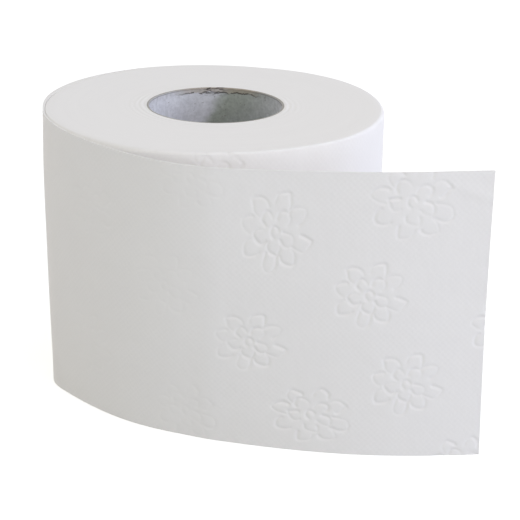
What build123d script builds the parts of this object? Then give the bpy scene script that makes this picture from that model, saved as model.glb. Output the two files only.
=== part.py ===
from build123d import *
import os
from math import cos, radians, sin

# A roll of toilet paper that stands on its end, with the loose end of the paper pulled away from it.
# Sizes are in millimetres. +Z is the roll's axis, and the origin is the middle of the core at the foot.
# A bearing is the angle round that axis, in degrees from +X, and the paper is wound outwards with it.

sheet_width = 94.0
roll_radius = 58.9
sheet_thickness = 0.5
core_bore_radius = 23.0
core_wall = 0.8
glue_line = 0.05

# The last turn comes loose from the roll at its back left, and the leaf is its free run from there.
loose_bearing = 150.0
loose_gap = 0.3
rim_bevel = 0.9
rim_slack = 0.1

# The leaf's line in plan, from its root on: arcs that run into each other. Each is given by how much
# larger its radius is than the roll's, and by its sweep.
leaf_arcs = ((2.6, 54.5), (21.1, 32.1), (31.1, 21.6), (176.1, 19.6))

# Blossoms are pressed into the leaf's outward face: a ring of blunt petals round a six-sided eye.
emboss_depth = 0.25
stroke_width = 0.9
petal_count = 7
petal_tip_radius = 11.2
petal_notch_radius = 8.6
petal_shoulder = 0.27
eye_radius = 4.8
blossom_places = ((16, 74), (12, 36), (33, 12), (49, 54), (62, 84), (64, 23))

# The turns' edges show on both ends of the roll, as spiral lines: some near the core, one near the rim.
core_lines = 2
turn_line_pitch = 1.4
turn_line_width = 0.25
turn_line_depth = 0.4
turn_line_margin = 1.2

core_radius = core_bore_radius + core_wall
paper_bore_radius = core_radius + glue_line


def polar(radius, bearing):
    """The point at a distance from the axis, on a bearing."""
    angle = radians(bearing)
    return Vector(radius * cos(angle), radius * sin(angle))


def spiral(radius, pitch, turns):
    """A flat spiral that starts at the loose bearing: half circles, each a little larger than the last."""
    arcs = []
    for half in range(2 * turns):
        centre = polar(pitch / 2, loose_bearing) if half % 2 else Vector(0, 0)
        start = loose_bearing + 180 * half
        arcs.append(CenterArc(centre, radius + half * pitch / 2, start % 360, 180))
    return arcs


def wound_turns():
    """The tightly wound turns, with bevelled rims, round a plain hole for the core."""
    step = sheet_thickness + loose_gap
    inner = roll_radius - step
    seam = Line(polar(roll_radius, loose_bearing), polar(inner, loose_bearing))
    disc = make_face(spiral(inner, step, 1) + [seam])
    turns = extrude(disc, amount=sheet_width)
    blank = Cylinder(roll_radius + rim_slack, sheet_width, align=(Align.CENTER, Align.CENTER, Align.MIN))
    blank = chamfer(blank.edges().filter_by(GeomType.CIRCLE), rim_bevel)
    hole = Cylinder(paper_bore_radius, sheet_width, align=(Align.CENTER, Align.CENTER, Align.MIN))
    return (turns & blank) - hole


def turn_line(radius, turns):
    """A spiral line that the turns' edges make on an end of the roll, as a shallow groove."""
    near = spiral(radius, turn_line_pitch, turns)
    far = spiral(radius + turn_line_width, turn_line_pitch, turns)
    last = radius + turns * turn_line_pitch
    start = Line(polar(radius, loose_bearing), polar(radius + turn_line_width, loose_bearing))
    end = Line(polar(last, loose_bearing), polar(last + turn_line_width, loose_bearing))
    return extrude(make_face(near + far + [start, end]), amount=turn_line_depth)


def turn_lines():
    """The spiral lines of one end: a few turns beside the core, and one inside the rim."""
    beside_core = paper_bore_radius + turn_line_margin
    inside_rim = roll_radius - rim_bevel - turn_line_margin - 2 * turn_line_pitch
    return turn_line(beside_core, core_lines) + turn_line(inside_rim, 1)


def leaf_line(inset):
    """The leaf's line in plan, as a list of arcs, a little inside the leaf's outward face."""
    arcs = []
    place = polar(roll_radius, loose_bearing)
    bearing = loose_bearing
    for extra, sweep in leaf_arcs:
        radius = roll_radius + extra
        centre = place - polar(radius, bearing)
        arcs.append(CenterArc(centre, radius - inset, bearing, sweep))
        bearing += sweep
        place = centre + polar(radius, bearing)
    return arcs


def leaf_skin(depth):
    """The leaf from its outward face down to a depth: off at the back left, round the side, out in front."""
    outer = leaf_line(0)
    inner = leaf_line(depth)
    root = Line(outer[0] @ 0, inner[0] @ 0)
    cut_end = Line(outer[-1] @ 1, inner[-1] @ 1)
    return extrude(make_face(outer + inner + [root, cut_end]), amount=sheet_width)


def petal_outline(inset):
    """A ring of blunt petals in the flat, drawn with short straight strokes."""
    share = 360 / petal_count
    points = []
    for petal in range(petal_count):
        points.append(polar(petal_notch_radius - inset, share * petal))
        points.append(polar(petal_tip_radius - inset, share * (petal + petal_shoulder)))
        points.append(polar(petal_tip_radius - inset, share * (petal + 1 - petal_shoulder)))
    return make_face(Polyline(*points, close=True))


def blossom():
    """One blossom's strokes in the flat."""
    petals = petal_outline(0) - petal_outline(stroke_width)
    eye = RegularPolygon(eye_radius, 6) - RegularPolygon(eye_radius - stroke_width, 6)
    return petals + eye


def emboss():
    """What the blossoms' strokes take from the leaf's outward face, where it runs past the roll's front."""
    front = Plane(origin=(0, -roll_radius, 0), x_dir=(1, 0, 0), z_dir=(0, -1, 0))
    strokes = Sketch() + [front * Pos(x, height) * blossom() for x, height in blossom_places]
    return extrude(strokes, amount=roll_radius) & leaf_skin(emboss_depth)


def paper_roll():
    """All of the paper: the wound turns and the loose leaf are one web."""
    foot_lines = turn_lines()
    head_lines = Pos(0, 0, sheet_width - turn_line_depth) * foot_lines
    leaf = leaf_skin(sheet_thickness) - emboss()
    return wound_turns() - foot_lines - head_lines + leaf


def core_tube():
    """The cardboard tube that the paper is wound on."""
    tube = Cylinder(core_radius, sheet_width, align=(Align.CENTER, Align.CENTER, Align.MIN))
    bore = Cylinder(core_bore_radius, sheet_width, align=(Align.CENTER, Align.CENTER, Align.MIN))
    return tube - bore


os.makedirs("parts", exist_ok=True)
export_step(paper_roll(), "parts/paper_roll.step")
export_step(core_tube(), "parts/core_tube.step")
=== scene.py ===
import math
import random

import bmesh
import bpy
import numpy as np
from mathutils import Matrix, Vector


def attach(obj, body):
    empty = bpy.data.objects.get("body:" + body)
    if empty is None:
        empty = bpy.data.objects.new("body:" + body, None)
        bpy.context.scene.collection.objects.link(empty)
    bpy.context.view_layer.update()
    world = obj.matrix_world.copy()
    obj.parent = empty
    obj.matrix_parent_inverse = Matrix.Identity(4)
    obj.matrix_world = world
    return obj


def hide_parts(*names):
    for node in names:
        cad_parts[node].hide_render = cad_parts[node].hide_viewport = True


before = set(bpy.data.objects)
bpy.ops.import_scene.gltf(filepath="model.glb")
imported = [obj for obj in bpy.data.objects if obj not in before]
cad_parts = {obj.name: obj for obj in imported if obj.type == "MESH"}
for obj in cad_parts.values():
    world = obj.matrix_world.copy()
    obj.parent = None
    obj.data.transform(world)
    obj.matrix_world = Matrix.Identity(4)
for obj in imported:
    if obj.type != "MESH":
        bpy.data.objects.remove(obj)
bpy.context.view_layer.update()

# Lengths in this script are millimetres until a mesh is finished; MM turns them into metres. A bearing is
# an angle round the roll's axis, in degrees from +X.
MM = 0.001

# The roll: its paper stands on the floor, round the core, and its last turn comes loose at ROOT.
SHEET = 94.0
ROLL = 58.9
PAPER = 0.5
CORE_OUT = 23.8
CORE_IN = 23.0
GLUE = 0.05
ROOT = 120.0

# The loose leaf's outward face in plan, along its foot and along its head: a bearing round the roll, and
# how far the leaf stands off the roll there. The leaf leans out a little, so the two lines differ.
LEAF_FOOT = ((140, 0.3), (155, 0.4), (170, 0.1), (187, -0.2), (197, 0.6), (206, 2.9), (213, 2.5), (232, 2.7),
             (246, 4.8), (261, 7.9), (286, 20.0), (304, 38.3), (317.1, 57.95))
LEAF_HEAD = ((136, 0.4), (147, 0.75), (158, 0.85), (168, 0.95), (178, 0.75), (187, 0.6), (197, 0.8),
             (206, 0.8), (216, 1.2), (231, 2.9), (246, 6.7), (261, 12.2), (283, 18.8), (303, 32.7),
             (319.13, 53.95))

# The directions in which the foot's line and the head's line end, and the leaf's flat length.
LEAF_END_TURNS = (4.5, 5.5)
LEAF_LENGTH = 247.0

# The leaf's mesh: a tail that runs back from the root, hard on the roll, and its squares each way.
LEAF_TAIL = 1.4
TAIL_GAP = 0.02
LEAF_SQUARES = (198, 76)
OUTWARD_FROM = -0.05

# At the back left the last few turns come loose together, so the leaf is thicker there: a bearing, and
# how much thicker.
BUNDLE = ((128, 0.0), (146, 1.3), (161, 1.5), (172, 0.9), (182, 0.4), (196, 0.0))

# The leaf's soft bends: how far each stands out, then its middle and its width. Those are distances along
# the leaf, apart from the shoulder's, which are shares of its height. The fold leans a little.
LEFT_BELLY = 0.45
LEFT_SPREAD = (76, 26)
SHOULDER = 0.25
SHOULDER_SPREAD = (0.75, 0.16)
FRONT_BELLY = 1.2
FRONT_SPREAD = (135, 36)
FOLD = 0.25
FOLD_SPREAD = (159, 5)
FOLD_LEAN = 2
WAVES = 0.10
WAVES_FROM = (90, 60)

# The crease across the leaf's upper corner: how far it stands out, a point on it, its slope and its width,
# and where along the leaf it starts and over what length.
CREASE = 0.22
CREASE_PLACE = (239, 88)
CREASE_SLOPE = 0.42
CREASE_WIDTH = 1.3
CREASE_FROM = (233, 6)

# The leaf's cut end is hollow by this much halfway up, and that dies away towards this run from the root.
END_HOLLOW = 0.45
END_HOLLOW_FROM = 200

# The wound turns' outer face, at the foot and at the head: a bearing from ROOT on, and a radius.
WOUND_FOOT = ((120, 58.3), (150, 58.1), (187, 58.1), (225, 58.6), (300, 58.9), (480, 58.9))
WOUND_HEAD = ((120, 58.3), (146, 57.95), (161, 57.95), (172, 58.35), (182, 58.62), (187, 58.74), (197, 59.16),
              (207, 59.18), (216, 59.35), (224, 59.4), (233, 59.6), (242, 59.6), (252, 59.2), (262, 58.7),
              (272, 57.5), (300, 57.4), (315, 58.2), (340, 58.3), (365, 58.6), (385, 58.9), (480, 58.9))

# The turns follow their outer face less and less over this much of their thickness.
FACE_DEPTH = 6

# In front the face leans out from its head down, over the first few mm: a bearing, and the lean per mm.
LEAN = ((214, 0.0), (228, 0.18), (266, 0.18), (285, 0.08), (300, 0.0))
LEAN_DEPTH = 8.0

# How softly the head's rim is rounded: a bearing from ROOT on, and the rounding's radius. The mesh starts
# with one radius all round.
RIM = ((120, 0.5), (187, 0.3), (207, 0.9), (216, 1.3), (224, 1.6), (233, 1.8), (242, 1.6), (252, 1.2),
       (262, 0.9), (285, 0.8), (300, 0.8), (315, 0.9), (345, 1.4), (370, 1.6), (398, 0.7), (417, 1.1),
       (432, 2.2), (448, 1.8), (463, 0.9), (475, 0.2), (480, 0.05))
RIM_START = 1.5
RIM_SEGMENTS = 6

# How finely the wound turns and the core are divided: across the turns' ends, up both sides, and round. An
# edge of the section is long if it is over LONG_EDGE, and the spin's last points merge with its first.
END_CUTS = 17
SIDE_CUTS = 65
ROLL_STEPS = 264
CORE_CUTS = 24
CORE_STEPS = 220
LONG_EDGE = 10
MERGE_GAP = 0.02

# Faces this near the pressed lines are divided once more, and then again.
LEAF_REACHES = (1.9, 1.0)
ROLL_REACHES = (2.1, 1.0)

# The side of the roll is what lies this near its outer radius. Its turns' edges show on its ends, and on
# what lies deeper than this.
SIDE_DEPTH = 0.9
TURNED_DEPTH = 8

# The small step inside the core's head: how far it goes back, and how far down.
STEP_BACK = 0.15
STEP_DOWN = 0.3

# A blossom is rings of petals round an open eye. A ring is its number of petals, a petal's half width in
# degrees, the radii of its feet and its tip, and the first petal's bearing. The eye is a part of an oval.
PETAL_RINGS = ((8, 19.0, 5.7, 11.1, 30), (5, 31.0, 2.4, 6.5, 50))
EYE_RADII = (1.2, 1.5)
EYE_BEARINGS = (20, 250)
EYE_POINTS = 24
LINE_STEP = 0.16
LINE_TRIM = 2.4
BLOSSOM_SEEDS = (6, 7)

# What a blossom's lines press into the web: the groove's depth and half width, and how far the paper
# between them swells, from what distance, and out to what distance from the blossom's middle. Beyond its
# reach a blossom presses nothing.
GROOVE_DEPTH = 0.25
GROOVE_WIDTH = 0.52
SWELL = 0.06
SWELL_WIDTH = 1.6
SWELL_END = 13.0
SWELL_FADE = 4
BLOSSOM_REACH = 17

# The fine diamond grid keeps off the blossoms, from this distance, and its lines are this far apart.
GRID_FROM = (9.5, 4)
GRID_PITCH = 1.4

# The web's own map has this many mm of paper to one unit.
MAP_UNIT = 100

# Blossoms on the leaf: distance from its root, height above the floor, and how wide and how tall, as the
# paper stretches.
LEAF_BLOSSOMS = ((180.2, 74, 1, 1.25), (222, 84.5, 1.25, 1.2), (209.8, 54.3, 1.05, 1),
                 (192.3, 13, 1.2, 0.95), (172.4, 36.7, 1.05, 0.92), (241.5, -4, 1.05, 1.05),
                 (222.4, 24.6, 1.05, 0.97), (154, 90, 1, 1), (145, 53, 1, 1), (151, 9.5, 1, 1),
                 (112, 24, 1, 1), (114, 73, 1, 1), (80, 46, 1, 1), (83, 86, 1, 1), (86, 4, 1, 1),
                 (47, 66, 1, 1), (49, 24, 1, 1), (253, 43, 1, 1), (18, 88, 1, 1), (20, 46, 1, 1),
                 (16, 4, 1, 1))

# Where the leaf lies against the roll its blossoms are pressed almost flat: a distance from the root, and
# the share of their depth that is left. Near the head the leaf lies against the roll for a little longer.
LEFT_DEPTH = ((105, 0.26), (155, 0.26), (173, 1.0))
HELD_LONGER = 6
HELD_FROM = (62, 18)

# The one blossom that shows above the leaf, on the roll: a bearing and a height.
BAND_BLOSSOM = (269.5, 86.5)

# The blossoms round the back are in columns that lean, every other one raised, and each blossom wanders a
# little. They are counted back from the leaf's root, and keep off it. They keep clear of the one that
# shows above the leaf, and where they are high up they keep further from it.
COLUMNS = range(1, 14)
ROWS = range(-6, 6)
COLUMNS_START = (18, 4)
COLUMN_GAP = 30.5
COLUMN_RISE = 17
ROW_GAP = 37
ROW_LEAN = 5
WANDER = 2
BACK_STRETCH = (-268, -8)
EDGE_OVERLAP = 8
HIGH_UP = 60
CLEAR_HIGH = 92
CLEAR_LOW = 31

# Colours of the paper: its face, the painted shade in its grid's hollows, and the edges of its turns.
LIGHT_TISSUE = (0.875, 0.861, 0.858)
DIM_TISSUE = (0.85, 0.836, 0.836)
SHADED_TISSUE = (0.8, 0.787, 0.788)
LIGHT_TURNS = (0.88, 0.866, 0.869)
DIM_TURNS = (0.85, 0.836, 0.842)

# Colours of the core: its board painted lit on one side of a slanted line and painted in shadow on the other,
# each from dim to bright, the painted shade along that line, flecks, the painted shade and shadow line under
# the cut edge, the cut, the torn layer, and its dark fibres, which also paint a shadow line along its edge.
PAINTED_LIT_BOARD = ((0.49, 0.495, 0.535), (0.90, 0.91, 0.98))
PAINTED_SHADOW_BOARD = ((0.19, 0.21, 0.185), (0.44, 0.475, 0.425))
PAINTED_SHADE_BOARD = (0.25, 0.25, 0.28)
FLECKS = (0.16, 0.14, 0.12)
EDGE_SHADE = (0.13, 0.12, 0.12)
CUT_BOARD = (0.37, 0.355, 0.335)
TAN_BOARD = (0.40, 0.32, 0.23)
FIBRES_AND_PAINTED_SHADOW = (0.05, 0.04, 0.035)

# The slanted line in the core's wall where its painted light meets its painted shadow, as a lamp's shadow
# edge
# from the rim would lie: its bearing at the head, and the degrees that it turns per mm. The bearing is two
# turns up, so that what is left of it over a turn is never below 0.
SHADOW_EDGE_BEARING = 801.0
SHADOW_EDGE_SLANT = 1.6

# The studio's light, as red, green and blue: 1 is a white wall. The low lights are strips along the horizon.
ALL_ROUND_LIGHT = (0.503, 0.483, 0.372)
RIGHT_LIGHT = (0.472, 0.664, 1.293)
LOW_RIGHT_LIGHT = (1.022, 0.816, 0.168)
LOW_LEFT_LIGHT = (1.045, 0.959, 1.144)
LOW_FRONT_LIGHT = (0.875, 1.075, 1.256)
LOW_BACK_LIGHT = (2.0, 2.0, 2.0)
LOW_LIGHT_POWER = 3.0

# Two lamps in front on the right: place and aim in metres, size, watts and colour. The second is faint.
SOFT_LAMP = ((0.695, -0.695, 0.738), (0.0, 0.0, 0.05), 0.8, 2.54, (1.0, 0.83, 0.66))
COOL_LAMP = ((0.33, -0.28, 0.05), (0.08, -0.07, 0.04), 0.1, 0.055, (0.25, 0.38, 1.0))

# The floor: its radius in metres, and how brightly it shines for the camera.
FLOOR_RADIUS = 6.0
FLOOR_GLOW = 0.7

# The camera: where it stands, in metres, its yaw, pitch and roll in radians, and its lens in mm.
CAMERA_PLACE = (-0.00065, -0.52991, 0.23661)
CAMERA_TURNS = (0.03219890, 0.36099145, 0.01873378)
CAMERA_LENS = 108.94


# Small helpers

def polar(radius, bearing):
    """A point in plan, in mm."""
    turn = np.radians(bearing)
    return np.array([radius * np.cos(turn), radius * np.sin(turn)])


def read_off(table, values):
    """Reads a table of pairs at given values, with straight lines between its rows."""
    return np.interp(values, *np.array(table).T)


def rise(value, start, length):
    """A straight rise from 0 at the start to 1 at a length further on."""
    return np.clip((value - start) / length, 0, 1)


def hump(value, middle, width):
    """A soft hump: 1 at its middle, and next to nothing two widths away."""
    return np.exp(-((value - middle) / width) ** 2)


def run_of(line):
    """How far each of a line's points is from its start, along the line."""
    return np.r_[0, np.cumsum(np.hypot(*np.diff(line, axis=0).T))]


def line_at(line, run, wanted):
    """The points at wanted distances along a line, whose own points lie at the distances in run."""
    return np.stack([np.interp(wanted, run, line[:, 0]), np.interp(wanted, run, line[:, 1])], 1)


def deselect():
    """Leaves edit mode and clears the selection."""
    if bpy.context.object and bpy.context.object.mode != "OBJECT":
        bpy.ops.object.mode_set(mode="OBJECT")
    bpy.ops.object.select_all(action="DESELECT")


def take(piece):
    """Makes one piece the only selected one."""
    deselect()
    piece.select_set(True)
    bpy.context.view_layer.objects.active = piece


def named(name):
    """Names the object that an operator has just added."""
    piece = bpy.context.active_object
    piece.name = name
    piece.data.name = name
    return piece


def read_all(items, name, kind, width=1):
    """One value of every item, in one row; a width of 3 is for places, which have three numbers each."""
    values = np.empty(len(items) * width, kind)
    items.foreach_get(name, values)
    return values


def places(piece):
    """The piece's points, in mm, one row each."""
    return read_all(piece.data.vertices, "co", float, 3).reshape(-1, 3) / MM


def put(piece, points):
    """Moves the piece's points, given in mm."""
    piece.data.vertices.foreach_set("co", (points * MM).ravel())
    piece.data.update()


def pick(piece, kind, wanted):
    """Selects, in edit mode, just those vertices, edges or faces of a piece that are wanted."""
    bpy.ops.mesh.select_mode(type=kind)
    bpy.ops.mesh.select_all(action="DESELECT")
    mesh = bmesh.from_edit_mesh(piece.data)
    for element in {"VERT": mesh.verts, "EDGE": mesh.edges, "FACE": mesh.faces}[kind]:
        if wanted(element):
            element.select_set(True)
    bmesh.update_edit_mesh(piece.data)


def apply_modifier(piece, kind, **values):
    """Adds a modifier, sets it and applies it."""
    take(piece)
    modifier = piece.modifiers.new(kind.title(), kind)
    for name, value in values.items():
        setattr(modifier, name, value)
    bpy.ops.object.modifier_apply(modifier=modifier.name)


def smooth(piece, degrees):
    """Shades a piece smooth, with its sharp edges kept."""
    take(piece)
    bpy.ops.object.shade_smooth_by_angle(angle=math.radians(degrees))


# The blossoms

def cut_corners(points):
    """A line with each inner corner cut off, a quarter of the way along."""
    early, late = points[:-1] * 0.75 + points[1:] * 0.25, points[:-1] * 0.25 + points[1:] * 0.75
    inner = np.stack([early, late], 1).reshape(-1, 2)
    return np.concatenate([points[:1], inner[1:-1], points[-1:]])


def petal(chance, centre, half, foot, tip):
    """One petal's line, from its foot round its tip and back, in mm about the blossom's middle. Each
    point's third number is how far the line fades there, which counts as more distance from it."""
    wide = [chance.uniform(0.7, 1.05) for _ in range(4)]
    corners = [(0.0, -0.85), (0.45, -wide[0]), (0.82, -0.62 * wide[1]), (1.04, 0.5 * chance.uniform(-1, 1)),
               (0.82, 0.62 * wide[2]), (0.45, wide[3]), (0.0, 0.85)]
    line = np.array([polar(foot + share * (tip - foot), centre + half * off) for share, off in corners])
    line = cut_corners(line)
    run = run_of(line)
    even = np.arange(chance.uniform(0, LINE_TRIM), run[-1] - chance.uniform(0, LINE_TRIM), LINE_STEP)
    faint = 0.2 + 0.2 * np.sin(chance.uniform(0, 6.3) + even / 2)
    return np.column_stack([line_at(line, run, even), faint])


def blossom(chance):
    """The pressed lines of one blossom: its rings of petals, and its eye, which fades a little."""
    lines = []
    for count, half, foot, tip, start in PETAL_RINGS:
        for step in range(count):
            centre = start + (step + chance.uniform(-0.12, 0.12)) * 360 / count
            lines.append(petal(chance, centre, half, foot, tip * chance.uniform(0.9, 1.04)))
    turn = np.radians(np.linspace(*EYE_BEARINGS, EYE_POINTS))
    eye = (EYE_RADII[0] * np.cos(turn), EYE_RADII[1] * np.sin(turn), np.full(EYE_POINTS, 0.1))
    return np.concatenate(lines + [np.stack(eye, 1)])


def blossoms():
    """Every blossom, as its middle and its lines. Two shapes take turns."""
    chance = random.Random(5)
    shapes = [blossom(random.Random(seed)) for seed in BLOSSOM_SEEDS]
    middles = list(LEAF_BLOSSOMS)
    band = -math.radians((ROOT - BAND_BLOSSOM[0]) % 360) * ROLL
    middles.append((band, BAND_BLOSSOM[1], 1, 1))
    for column in COLUMNS:
        for row in ROWS:
            along = COLUMNS_START[0] - COLUMN_GAP * column + ROW_LEAN * row + chance.uniform(-WANDER, WANDER)
            height = COLUMNS_START[1] + COLUMN_RISE * (column % 2) + ROW_GAP * row
            height += chance.uniform(-WANDER, WANDER)
            off_band = math.hypot(along - band, height - BAND_BLOSSOM[1])
            clear = off_band > (CLEAR_HIGH if height > HIGH_UP else CLEAR_LOW)
            on_roll = BACK_STRETCH[0] < along < BACK_STRETCH[1]
            if on_roll and clear and -EDGE_OVERLAP < height < SHEET + EDGE_OVERLAP:
                middles.append((along, height, 1, 1))
    return [(np.array([along, height]), shapes[number % 2] * (wide, tall, 1) + (along, height, 0))
            for number, (along, height, wide, tall) in enumerate(middles)]


BLOSSOMS = blossoms()


def from_lines(flat):
    """How far each point of the flat web lies from the nearest pressed line, and from a blossom's middle."""
    far, at_once = 99.0, 4000
    near = np.full(len(flat), far)
    middle = np.full(len(flat), far)
    for centre, lines in BLOSSOMS:
        off = np.hypot(*(flat - centre).T)
        middle = np.minimum(middle, off)
        close = np.flatnonzero(off < BLOSSOM_REACH)
        for start in range(0, len(close), at_once):
            part = close[start:start + at_once]
            gap = np.sqrt(((flat[part, None] - lines[None, :, :2]) ** 2).sum(2)) + lines[:, 2]
            near[part] = np.minimum(near[part], gap.min(1))
    return near, middle


def pressed(near, middle):
    """The web's relief: grooves along the lines, with the paper between them a little swollen."""
    groove = -GROOVE_DEPTH * hump(near, 0, GROOVE_WIDTH)
    swell = SWELL * (1 - hump(near, 0, SWELL_WIDTH)) * rise(SWELL_END - middle, 0, SWELL_FADE)
    return groove + swell


def refine(piece, flat_of, reaches):
    """Divides the outward faces near the pressed lines, once for each reach."""
    for reach in reaches:
        take(piece)
        bpy.ops.object.mode_set(mode="EDIT")
        faces = bmesh.from_edit_mesh(piece.data).faces
        flat, outward = flat_of(np.array([face.calc_center_median() for face in faces]) / MM)
        near, _ = from_lines(flat)
        chosen = (near < reach) & outward
        pick(piece, "FACE", lambda face: chosen[face.index])
        bpy.ops.mesh.subdivide(number_cuts=1)
        bpy.ops.object.mode_set(mode="OBJECT")


def map_web(piece, flat_of):
    """Gives a piece the web's own map. A face that crosses the seam keeps its corners together."""
    flat, _ = flat_of(places(piece))
    uv = flat[read_all(piece.data.loops, "vertex_index", int)] / MAP_UNIT
    starts = read_all(piece.data.polygons, "loop_start", int)
    totals = read_all(piece.data.polygons, "loop_total", int)
    turn = 2 * math.pi * ROLL / MAP_UNIT
    for start, total in zip(starts, totals):
        run = uv[start:start + total, 0]
        if run.max() - run.min() > turn / 2:
            run[run < run.max() - turn / 2] += turn
    piece.data.uv_layers.new(name="web").data.foreach_set("uv", uv.ravel())


def mark_grid(piece, middle):
    """Stores how strongly the fine diamond grid shows, which fades out round the blossoms."""
    mark = piece.data.attributes.new("grid", "FLOAT", "POINT")
    mark.data.foreach_set("value", rise(middle, *GRID_FROM))


# The loose leaf

def curve_through(points, start, end):
    """A smooth curve through points with given end directions, as a table of equal steps."""
    steps_between, steps_in_all = 200, 3000
    points = np.array(points)
    knots = run_of(points)
    count = len(points)
    matrix = np.zeros((count, count))
    right = np.zeros((count, 2))
    matrix[0, 0] = matrix[-1, -1] = 1
    right[0], right[-1] = start, end
    for i in range(1, count - 1):
        before, after = knots[i] - knots[i - 1], knots[i + 1] - knots[i]
        matrix[i, i - 1:i + 2] = after, 2 * (before + after), before
        early = after * (points[i] - points[i - 1]) / before
        late = before * (points[i + 1] - points[i]) / after
        right[i] = 3 * (early + late)
    slope = np.linalg.solve(matrix, right)
    table = []
    for i in range(count - 1):
        step = knots[i + 1] - knots[i]
        t = np.linspace(0, 1, steps_between, endpoint=(i == count - 2))[:, None]
        table.append(points[i] * (1 + 2 * t) * (1 - t) ** 2 + slope[i] * step * t * (1 - t) ** 2
                     + points[i + 1] * t * t * (3 - 2 * t) + slope[i + 1] * step * t * t * (t - 1))
    table = np.concatenate(table)
    run = run_of(table)
    return line_at(table, run, np.linspace(0, run[-1], steps_in_all))


def leaf_line(stand_off, end_turn):
    """One edge of the leaf in plan."""
    points = [polar(ROLL, ROOT)] + [polar(ROLL + gap, bearing) for bearing, gap in stand_off]
    return curve_through(points, polar(1, ROOT + 90), polar(1, end_turn))


FOOT_LINE = leaf_line(LEAF_FOOT, LEAF_END_TURNS[0])
HEAD_LINE = leaf_line(LEAF_HEAD, LEAF_END_TURNS[1])


def along_line(line, share):
    """Points at shares of a line's length; a share under 0 runs back round the roll."""
    ahead = line_at(line, np.linspace(0, 1, len(line)), share)
    behind = polar(ROLL + TAIL_GAP, ROOT + np.degrees(share * LEAF_LENGTH / ROLL)).T
    return np.where((share < 0)[:, None], behind, ahead)


def on_face(run, height):
    """Where a point of the flat leaf goes before it swells: on a straight line from foot to head."""
    share = run / LEAF_LENGTH
    foot, head = along_line(FOOT_LINE, share), along_line(HEAD_LINE, share)
    level = (height / SHEET)[:, None]
    return np.column_stack([foot * (1 - level) + head * level, height])


def soft_shape(run, height):
    """How far the leaf swells from its straight upright lines: soft bends of thin paper, in mm."""
    share = height / SHEET
    bow = np.sin(math.pi * share)
    left = (LEFT_BELLY * bow + SHOULDER * hump(share, *SHOULDER_SPREAD)) * hump(run, *LEFT_SPREAD)
    front = FRONT_BELLY * bow * hump(run, *FRONT_SPREAD)
    fold = FOLD * hump(run - FOLD_LEAN * share, *FOLD_SPREAD)
    across = (run - CREASE_PLACE[0]) * CREASE_SLOPE + (height - CREASE_PLACE[1])
    crease = CREASE * hump(across, 0, CREASE_WIDTH) * rise(run, *CREASE_FROM)
    waves = WAVES * np.sin(run / 13 + height / 21) * np.sin(height / 17 + 1.3) * rise(run, *WAVES_FROM)
    return left + front + fold + crease + waves


def leaf_place(run, height, proud):
    """Where a point of the flat leaf goes, from its run from the root, its height and how proud it is."""
    hollow = END_HOLLOW * np.sin(math.pi * height / SHEET)
    run = run - hollow * rise(run, END_HOLLOW_FROM, LEAF_LENGTH - END_HOLLOW_FROM)
    aside, up = 0.2, 0.5
    ahead = on_face(run + aside, height) - on_face(run - aside, height)
    above = on_face(run, height + up) - on_face(run, height - up)
    out = np.cross(ahead, above)
    out /= np.linalg.norm(out, axis=1)[:, None]
    place = on_face(run, height) + out * (proud + soft_shape(run, height))[:, None]
    place[:, 2] = np.clip(place[:, 2], 0, SHEET)
    return place


def flat_leaf(points):
    """The web's flat coordinates of points on the unbent leaf, and which of them face outwards."""
    return points[:, :2], points[:, 2] > OUTWARD_FROM


def make_leaf():
    """The loose leaf: a flat sheet, pressed with blossoms and then bent to its place."""
    deselect()
    length = LEAF_LENGTH + LEAF_TAIL
    across, up = LEAF_SQUARES
    bpy.ops.mesh.primitive_grid_add(x_subdivisions=across, y_subdivisions=up, size=MM)
    leaf = named("loose_leaf")
    bpy.ops.object.mode_set(mode="EDIT")
    bpy.ops.transform.resize(value=(length, SHEET, 1))
    bpy.ops.transform.translate(value=((length / 2 - LEAF_TAIL) * MM, SHEET / 2 * MM, 0))
    bpy.ops.object.mode_set(mode="OBJECT")
    apply_modifier(leaf, "SOLIDIFY", thickness=PAPER * MM, offset=-1)

    refine(leaf, flat_leaf, LEAF_REACHES)
    map_web(leaf, flat_leaf)
    points = places(leaf)
    flat, outward = flat_leaf(points)
    near, middle = from_lines(flat)
    mark_grid(leaf, middle)
    run, height, depth = points.T
    bundle = read_off(BUNDLE, ROOT + np.degrees(run / ROLL))
    left = read_off(LEFT_DEPTH, run - HELD_LONGER * rise(height, *HELD_FROM))
    proud = depth + np.where(outward, pressed(near, middle) * left, -bundle)
    put(leaf, leaf_place(run, height, proud))
    smooth(leaf, degrees=50)
    return leaf


# Pieces spun round the roll's axis

def section(name, inner, outer):
    """Half of a piece's upright section: an oblong from one radius to another, left in edit mode."""
    deselect()
    bpy.ops.mesh.primitive_plane_add(size=1, rotation=(math.pi / 2, 0, 0))
    piece = named(name)
    bpy.ops.object.transform_apply(location=True, rotation=True, scale=True)
    bpy.ops.object.mode_set(mode="EDIT")
    bpy.ops.transform.resize(value=((outer - inner) * MM, 1, SHEET * MM))
    bpy.ops.transform.translate(value=((outer + inner) / 2 * MM, 0, SHEET / 2 * MM))
    return piece


def keep_outline():
    """Takes the section's face away and leaves its edges."""
    bpy.ops.mesh.select_all(action="SELECT")
    bpy.ops.mesh.delete(type="ONLY_FACE")


def spin_round(steps):
    """Spins the section's outline into a closed shell, with its faces outwards."""
    bpy.ops.mesh.select_all(action="SELECT")
    bpy.ops.mesh.spin(steps=steps, angle=2 * math.pi, center=(0, 0, 0), axis=(0, 0, 1))
    bpy.ops.mesh.select_all(action="SELECT")
    bpy.ops.mesh.remove_doubles(threshold=MERGE_GAP * MM)
    bpy.ops.mesh.normals_make_consistent(inside=False)


# The wound roll

def unrolled(points):
    """The web's flat coordinates of points on the roll, counted back from the leaf's root, and which of
    them are on its side."""
    bearing = np.degrees(np.arctan2(points[:, 1], points[:, 0]))
    back = (ROOT - bearing) % 360
    radius = np.hypot(points[:, 0], points[:, 1])
    return np.stack([-np.radians(back) * ROLL, points[:, 2]], 1), radius > ROLL - SIDE_DEPTH


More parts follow.
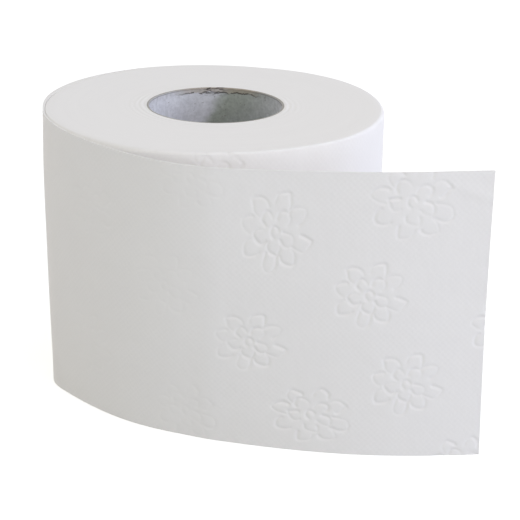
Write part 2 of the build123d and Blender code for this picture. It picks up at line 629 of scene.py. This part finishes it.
def even_roll():
    """The wound turns, still even all round: an upright section with rounded rims, spun round the core."""
    roll = section("wound_turns", CORE_OUT + GLUE, ROLL)
    pick(roll, "VERT", lambda corner: corner.co.x > (ROLL - 1) * MM)
    bpy.ops.mesh.bevel(offset=RIM_START * MM, segments=RIM_SEGMENTS, affect="VERTICES")
    keep_outline()
    pick(roll, "EDGE", lambda edge: abs(edge.verts[0].co.x - edge.verts[1].co.x) > LONG_EDGE * MM)
    bpy.ops.mesh.subdivide(number_cuts=END_CUTS)
    pick(roll, "EDGE", lambda edge: edge.calc_length() > LONG_EDGE * MM
         and min(end.co.x for end in edge.verts) > (ROLL - 0.01) * MM)
    bpy.ops.mesh.subdivide(number_cuts=SIDE_CUTS)
    spin_round(ROLL_STEPS)
    bpy.ops.object.mode_set(mode="OBJECT")
    return roll


def uneven(points, relief):
    """The even roll's points moved: the head's rim softer or sharper, the face in or out, and the blossoms
    pressed in. The root's own bearing counts as the end of the turn."""
    bearing = np.arctan2(points[:, 1], points[:, 0])
    turned_on = ROOT + (np.degrees(bearing) - ROOT - 0.01) % 360
    radius = np.hypot(points[:, 0], points[:, 1])
    height = points[:, 2]

    rounding = read_off(RIM, turned_on) / RIM_START
    inward, down = ROLL - radius, SHEET - height
    on_rim = (inward < RIM_START + 0.001) & (down < RIM_START + 0.001)
    radius = np.where(on_rim, ROLL - rounding * inward, radius)
    height = np.where(on_rim, SHEET - rounding * down, height)

    level = (height / SHEET) ** 2
    face = read_off(WOUND_FOOT, turned_on) * (1 - level) + read_off(WOUND_HEAD, turned_on) * level
    face += read_off(LEAN, turned_on) * np.clip(SHEET - height, 0, LEAN_DEPTH)
    radius += rise(radius, ROLL - FACE_DEPTH, FACE_DEPTH) * (face - ROLL) + relief
    return np.stack([radius * np.cos(bearing), radius * np.sin(bearing), height], 1)


def make_wound_turns():
    """The wound turns, pressed with blossoms and made uneven."""
    roll = even_roll()
    refine(roll, unrolled, ROLL_REACHES)
    map_web(roll, unrolled)
    points = places(roll)
    flat, side = unrolled(points)
    near, middle = from_lines(flat)
    mark_grid(roll, middle)
    put(roll, uneven(points, np.where(side, pressed(near, middle), 0)))
    smooth(roll, degrees=60)
    return roll


# The core

def make_core():
    """The cardboard tube: an upright strip spun round, with a small step inside its head."""
    core = section("core", CORE_IN, CORE_OUT)
    keep_outline()
    pick(core, "EDGE", lambda edge: edge.calc_length() > LONG_EDGE * MM)
    bpy.ops.mesh.subdivide(number_cuts=CORE_CUTS)
    spin_round(CORE_STEPS)
    pick(core, "EDGE", lambda edge: min(end.co.z for end in edge.verts) > (SHEET - 0.1) * MM
         and max(math.hypot(end.co.x, end.co.y) for end in edge.verts) < (CORE_IN + 0.1) * MM)
    bpy.ops.mesh.bevel(offset=STEP_DOWN * MM, segments=2, profile=0.15)
    bpy.ops.object.mode_set(mode="OBJECT")

    points = places(core)
    radius = np.hypot(points[:, 0], points[:, 1])
    above_step = (points[:, 2] >= SHEET - STEP_DOWN + 0.01) & (radius < CORE_OUT - 0.05)
    wider = np.where(above_step, np.maximum(radius, CORE_IN + STEP_BACK) / radius, 1.0)
    put(core, points * np.stack([wider, wider, np.ones(len(points))], 1))
    smooth(core, degrees=40)
    return core


# Finishes

class Wiring:
    """Short ways to add and join shader nodes."""

    def __init__(self, tree):
        self.tree = tree

    def join(self, value, socket):
        """Links a socket to another, or sets it to a plain value."""
        if isinstance(value, bpy.types.NodeSocket):
            self.tree.links.new(value, socket)
        elif isinstance(value, tuple) and len(socket.default_value) == 4:
            socket.default_value = (*value, 1)
        else:
            socket.default_value = value

    def node(self, kind, **inputs):
        """A node with its inputs joined, each by its name with _ for a space."""
        node = self.tree.nodes.new(kind)
        for name, value in inputs.items():
            self.join(value, node.inputs[name.replace("_", " ")])
        return node

    def math(self, operation, *values):
        """A sum done by a node."""
        node = self.tree.nodes.new("ShaderNodeMath")
        node.operation = operation
        for slot, value in enumerate(values):
            self.join(value, node.inputs[slot])
        return node.outputs[0]

    def times(self, product, *values):
        """Values multiplied together."""
        for value in values:
            product = self.math("MULTIPLY", product, value)
        return product

    def vectors(self, operation, **inputs):
        """A sum done on vectors or colours."""
        node = self.tree.nodes.new("ShaderNodeVectorMath")
        node.operation = operation
        shown = {socket.identifier: socket for socket in node.inputs if socket.enabled}
        for name, value in inputs.items():
            self.join(value, shown[name])
        return node.outputs[0]

    def apart(self, vector):
        """A vector's three numbers."""
        return self.node("ShaderNodeSeparateXYZ", Vector=vector).outputs[:]

    def noise(self, place, scale, detail, **inputs):
        """Cloudy noise, from 0 to 1, that is 0.5 on average."""
        node = self.node("ShaderNodeTexNoise", Vector=place, Scale=scale, Detail=detail, **inputs)
        return node.outputs["Fac"]

    def noise_at(self, x, y, detail):
        """Cloudy noise at a place given by two numbers."""
        return self.noise(self.node("ShaderNodeCombineXYZ", X=x, Y=y).outputs[0], 1.0, detail)

    def ramp(self, value, start, end):
        """A soft rise from 0 at the start to 1 at the end."""
        node = self.node("ShaderNodeMapRange", Value=value, From_Min=start, From_Max=end)
        node.interpolation_type = "SMOOTHSTEP"
        return node.outputs["Result"]

    def fall(self, value, start, end):
        """A soft fall from 1 at the start to 0 at the end."""
        return self.math("SUBTRACT", 1.0, self.ramp(value, start, end))

    def between(self, value, start, full, fading, end):
        """A soft rise from the start until it is full, and a soft fall from where it is fading to its end."""
        return self.times(self.ramp(value, start, full), self.fall(value, fading, end))

    def bump(self, height, distance, strength, under=None):
        """A bumpy surface's normal, with the distance in mm, over another normal if one is given."""
        node = self.node("ShaderNodeBump", Height=height, Distance=distance * MM, Strength=strength)
        if under:
            self.join(under, node.inputs["Normal"])
        return node.outputs["Normal"]

    def mix(self, share, first, second):
        """The first colour turned into the second by a share."""
        node = self.tree.nodes.new("ShaderNodeMix")
        node.data_type = "RGBA"
        shown = {socket.name: socket for socket in node.inputs if socket.enabled}
        self.join(share, shown["Factor"])
        self.join(first, shown["A"])
        self.join(second, shown["B"])
        return [socket for socket in node.outputs if socket.enabled][0]

    def seen_directly(self):
        """1 for what the camera sees directly, in a mirror or through glass, and 0 for light that falls."""
        path = self.tree.nodes.new("ShaderNodeLightPath")
        mirrored = self.math("MAXIMUM", path.outputs["Is Glossy Ray"], path.outputs["Is Transmission Ray"])
        return self.math("MAXIMUM", path.outputs["Is Camera Ray"], mirrored)


class Finish(Wiring):
    """A material with its shader."""

    def __init__(self, name, roughness):
        self.material = bpy.data.materials.new(name)
        self.material.use_nodes = True
        super().__init__(self.material.node_tree)
        self.shader = self.tree.nodes["Principled BSDF"]
        self.to("Roughness", roughness)

    def to(self, socket, value):
        """Joins one of the shader's own inputs."""
        self.join(value, self.shader.inputs[socket])


def pressed_tissue():
    """The web's face: white tissue with a fine diamond grid and soft fibres."""
    finish = Finish("pressed_tissue", 0.92)
    web = finish.node("ShaderNodeUVMap")
    web.uv_map = "web"
    flat = web.outputs["UV"]
    across, up, _ = finish.apart(flat)
    beat = MAP_UNIT * 2 * math.pi / GRID_PITCH / math.sqrt(2)
    rising = finish.math("COSINE", finish.times(finish.math("ADD", across, up), beat))
    falling = finish.math("COSINE", finish.times(finish.math("SUBTRACT", across, up), beat))
    grid = finish.node("ShaderNodeAttribute")
    grid.attribute_name = "grid"
    strength = finish.times(grid.outputs["Fac"], finish.noise(flat, 4.0, 2.0))
    diamonds = finish.times(finish.math("ADD", rising, falling), strength)

    normal = finish.bump(finish.noise(flat, 14.0, 3.0), 0.35, 0.6)
    normal = finish.bump(finish.noise(flat, 160.0, 4.0, Roughness=0.65), 0.05, 0.5, normal)
    finish.to("Normal", finish.bump(diamonds, 0.005, 0.8, normal))
    tissue = finish.mix(finish.noise(flat, 9.0, 4.0), LIGHT_TISSUE, DIM_TISSUE)
    # Painted shade: the grid's hollows are darkened in the paper's colour.
    shade = finish.math("MAXIMUM", finish.math("MULTIPLY_ADD", diamonds, -0.12, 0.1), 0.0)
    finish.to("Base Color", finish.mix(shade, tissue, SHADED_TISSUE))
    return finish.material


def turned_tissue():
    """The ends of the roll: the edges of many turns, pressed almost even, with a few that show."""
    finish = Finish("turned_tissue", 0.95)
    spot = finish.node("ShaderNodeTexCoord").outputs["Object"]
    x, y, _ = finish.apart(spot)
    radius = finish.math("SQRT", finish.math("MULTIPLY_ADD", x, x, finish.times(y, y)))
    turn = finish.math("DIVIDE", finish.math("ARCTAN2", y, x), 2 * math.pi)
    coarse = finish.noise_at(finish.times(radius, 900), finish.times(turn, 3), 3.0)
    near_core = finish.math("MULTIPLY_ADD", radius, -111.0, 3.64)
    near_core = finish.math("MAXIMUM", finish.math("MINIMUM", near_core, 1.0), 0.03)

    ring_pitch = 1.8 * MM
    wound = finish.math("ADD", finish.math("DIVIDE", radius, ring_pitch), turn)
    wound = finish.math("ADD", wound, finish.times(finish.noise(spot, 60.0, 2.0), 0.9))
    rings = finish.math("SINE", finish.times(wound, 2 * math.pi))
    normal = finish.bump(finish.noise(spot, 1600.0, 3.0, Roughness=0.6), 0.05, 0.5)
    normal = finish.bump(finish.times(coarse, near_core), 0.2, 0.5, normal)
    finish.to("Normal", finish.bump(finish.times(rings, near_core, coarse), 0.12, 0.8, normal))
    finish.to("Base Color", finish.mix(coarse, DIM_TURNS, LIGHT_TURNS))
    return finish.material


def board_with_painted_light(finish, spot, bearing, depth):
    """The core's mottled board, with painted light and shadow: pale and painted lit on one side of a slanted
    line, dark and painted in shadow on the other, with painted shade along the line."""
    slant = finish.math("SUBTRACT", finish.math("MULTIPLY_ADD", depth, SHADOW_EDGE_SLANT, SHADOW_EDGE_BEARING), bearing)
    drift = finish.math("MULTIPLY_ADD", finish.noise(spot, 160.0, 5.0), 20.0, slant)
    past_shadow_edge = finish.math("MODULO", drift, 360.0)
    mottle = finish.ramp(finish.noise(spot, 650.0, 6.0, Roughness=0.7), 0.0, 1.0)
    # Painted shade along the painted shadow edge.
    shade_near_edge = finish.math("MAXIMUM", finish.ramp(past_shadow_edge, 325.0, 350.0), finish.fall(past_shadow_edge, 20.0, 35.0))
    pale = finish.mix(finish.times(shade_near_edge, 0.18), finish.mix(mottle, *PAINTED_LIT_BOARD), PAINTED_SHADE_BOARD)
    dark = finish.mix(mottle, *PAINTED_SHADOW_BOARD)
    # Painted light before the slanted line, painted shadow past it.
    return finish.mix(finish.between(past_shadow_edge, 2.0, 20.0, 12.0, 115.0), pale, dark)


def cut_edge(finish, board, spot, depth):
    """The core's head is cut rough: the cut itself, a painted shadow line under it, and painted shade that
    fades below.
    """
    rough_depth = finish.math("MULTIPLY_ADD", finish.noise(spot, 300.0, 3.0), 0.4, depth)
    # Painted shadow: a dark line just under the cut, and painted shade that fades further down.
    line = finish.times(finish.between(rough_depth, 0.35, 0.45, 0.6, 1.0), 0.7)
    fade = finish.times(finish.fall(rough_depth, 0.4, 3.6), 0.24)
    board = finish.mix(finish.math("MAXIMUM", fade, line), board, EDGE_SHADE)
    return finish.mix(finish.fall(rough_depth, 0.3, 0.4), board, CUT_BOARD)


def torn_edge(finish, board, bearing, depth):
    """The core's top layer is torn off at the back, a little below its head: tan board, dark fibres, and a
    painted shadow line along the torn layer's edge.
    """
    edge = finish.math("MULTIPLY_ADD", finish.noise_at(finish.times(bearing, 0.11), 0.0, 3.0), 3.0, 0.1)
    below = finish.math("SUBTRACT", depth, edge)
    back = finish.between(bearing, 42.0, 60.0, 108.0, 136.0)
    bare = finish.times(finish.fall(below, -0.15, 0.05), back, 0.45)
    board = finish.mix(bare, board, TAN_BOARD)

    broken = finish.ramp(finish.noise_at(finish.times(bearing, 0.2), depth, 2.0), 0.4, 0.5)
    # Painted shadow: a broken dark line along the torn layer's edge.
    line = finish.times(finish.fall(finish.math("ABSOLUTE", below), 0.1, 0.38), broken, back)
    along = finish.math("MULTIPLY_ADD", depth, 2.6, finish.times(bearing, -0.1))
    torn = finish.ramp(finish.noise_at(finish.times(bearing, 0.16), along, 2.0), 0.5, 0.56)
    middle = finish.between(bearing, 76.0, 84.0, 98.0, 108.0)
    fibres = finish.times(torn, middle, finish.fall(depth, 1.6, 3.4))
    return finish.mix(finish.times(finish.math("MAXIMUM", fibres, line), 0.88), board, FIBRES_AND_PAINTED_SHADOW)


def grey_cardboard():
    """The core: grey board with dark flecks, cut rough and torn at its head."""
    finish = Finish("grey_cardboard", 0.85)
    spot = finish.node("ShaderNodeTexCoord").outputs["Object"]
    x, y, z = finish.apart(spot)
    bearing = finish.math("DEGREES", finish.math("ARCTAN2", y, x))
    depth = finish.math("DIVIDE", finish.math("SUBTRACT", SHEET * MM, z), MM)
    board = board_with_painted_light(finish, spot, bearing, depth)
    flecks = finish.math("GREATER_THAN", finish.noise(spot, 760.0, 2.0), 0.71)
    board = finish.mix(finish.times(flecks, 0.55), board, FLECKS)
    board = cut_edge(finish, board, spot, depth)
    finish.to("Base Color", torn_edge(finish, board, bearing, depth))
    finish.to("Normal", finish.bump(finish.noise(spot, 900.0, 4.0), 0.06, 0.6))
    return finish.material


# The floor, the light and the camera

def make_floor():
    """A large pale floor that the camera sees as white, with a trace of the roll's shadow."""
    deselect()
    bpy.ops.mesh.primitive_circle_add(vertices=64, radius=FLOOR_RADIUS, fill_type="NGON", location=(0, 0, 0))
    floor = named("floor")
    finish = Finish("white_floor", 1.0)
    finish.to("Base Color", (0.5, 0.5, 0.5))
    finish.to("Emission Color", (1, 1, 1))
    finish.to("Emission Strength", finish.times(finish.seen_directly(), FLOOR_GLOW))
    floor.data.materials.append(finish.material)


def lamp(name, place, aim, size, watts, colour):
    """A soft square lamp."""
    light = bpy.data.lights.new(name, "AREA")
    light.size = size
    light.energy = watts
    light.color = colour
    holder = bpy.data.objects.new(name, light)
    bpy.context.scene.collection.objects.link(holder)
    holder.location = place
    way = Vector(aim) - Vector(place)
    holder.rotation_euler = way.to_track_quat("-Z", "Y").to_euler()


def light_scene():
    """A pale studio, brighter on the right and along the horizon, with two lamps."""
    world = bpy.data.worlds.new("studio")
    bpy.context.scene.world = world
    world.use_nodes = True
    sky = Wiring(world.node_tree)
    x, y, z = sky.apart(sky.node("ShaderNodeTexCoord").outputs["Generated"])
    low = sky.math("POWER", sky.math("SUBTRACT", 1.0, sky.math("ABSOLUTE", z)), LOW_LIGHT_POWER)

    def towards(axis, sign):
        return sky.math("MAXIMUM", sky.times(axis, sign), 0.0)

    total = ALL_ROUND_LIGHT
    for strength, colour in ((towards(x, 1.0), RIGHT_LIGHT),
                             (sky.times(towards(x, 1.0), low), LOW_RIGHT_LIGHT),
                             (sky.times(towards(x, -1.0), low), LOW_LEFT_LIGHT),
                             (sky.times(towards(y, -1.0), low), LOW_FRONT_LIGHT),
                             (sky.times(towards(y, 1.0), low), LOW_BACK_LIGHT)):
        tinted = sky.vectors("SCALE", Vector=colour, Scale=strength)
        total = sky.vectors("ADD", Vector=total, Vector_001=tinted)
    backdrop = sky.mix(sky.seen_directly(), total, (1, 1, 1))
    sky.join(backdrop, sky.tree.nodes["Background"].inputs["Color"])

    lamp("soft_lamp", *SOFT_LAMP)
    lamp("cool_lamp", *COOL_LAMP)


def place_camera():
    """The photograph's own view."""
    camera = bpy.data.cameras.new("photo_view")
    camera.sensor_width = 36.0
    camera.lens = CAMERA_LENS
    camera.clip_start = 0.01
    camera.clip_end = 50.0
    holder = bpy.data.objects.new("photo_view", camera)
    bpy.context.scene.collection.objects.link(holder)
    yaw, pitch, roll = CAMERA_TURNS
    ahead = np.array([math.sin(yaw) * math.cos(pitch), math.cos(yaw) * math.cos(pitch), -math.sin(pitch)])
    level = np.array([math.cos(yaw), -math.sin(yaw), 0.0])
    over = np.cross(level, ahead)
    across = math.cos(roll) * level + math.sin(roll) * over
    up = -math.sin(roll) * level + math.cos(roll) * over
    turn = Matrix([(across[axis], up[axis], -ahead[axis]) for axis in range(3)])
    holder.matrix_world = Matrix.Translation(CAMERA_PLACE) @ turn.to_4x4()
    bpy.context.scene.camera = holder


# The scene

def dress(leaf, roll, core):
    """Gives the pieces their finishes. The roll's ends and its bore show the edges of its turns."""
    web_face = pressed_tissue()
    leaf.data.materials.append(web_face)
    roll.data.materials.append(web_face)
    roll.data.materials.append(turned_tissue())
    for face in roll.data.polygons:
        middle = face.center
        if abs(face.normal.z) > 0.8 or math.hypot(middle.x, middle.y) < (ROLL - TURNED_DEPTH) * MM:
            face.material_index = 1
    core.data.materials.append(grey_cardboard())


place_camera()
leaf = make_leaf()
roll = make_wound_turns()
core = make_core()
dress(leaf, roll, core)

for piece, node, slot in ((leaf, "paper_roll", "tissue_paper"), (roll, "paper_roll", "tissue_paper"),
                          (core, "core_tube", "core_cardboard")):
    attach(piece, "root")
    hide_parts(node)

make_floor()
light_scene()
bpy.context.scene.view_settings.view_transform = "Standard"
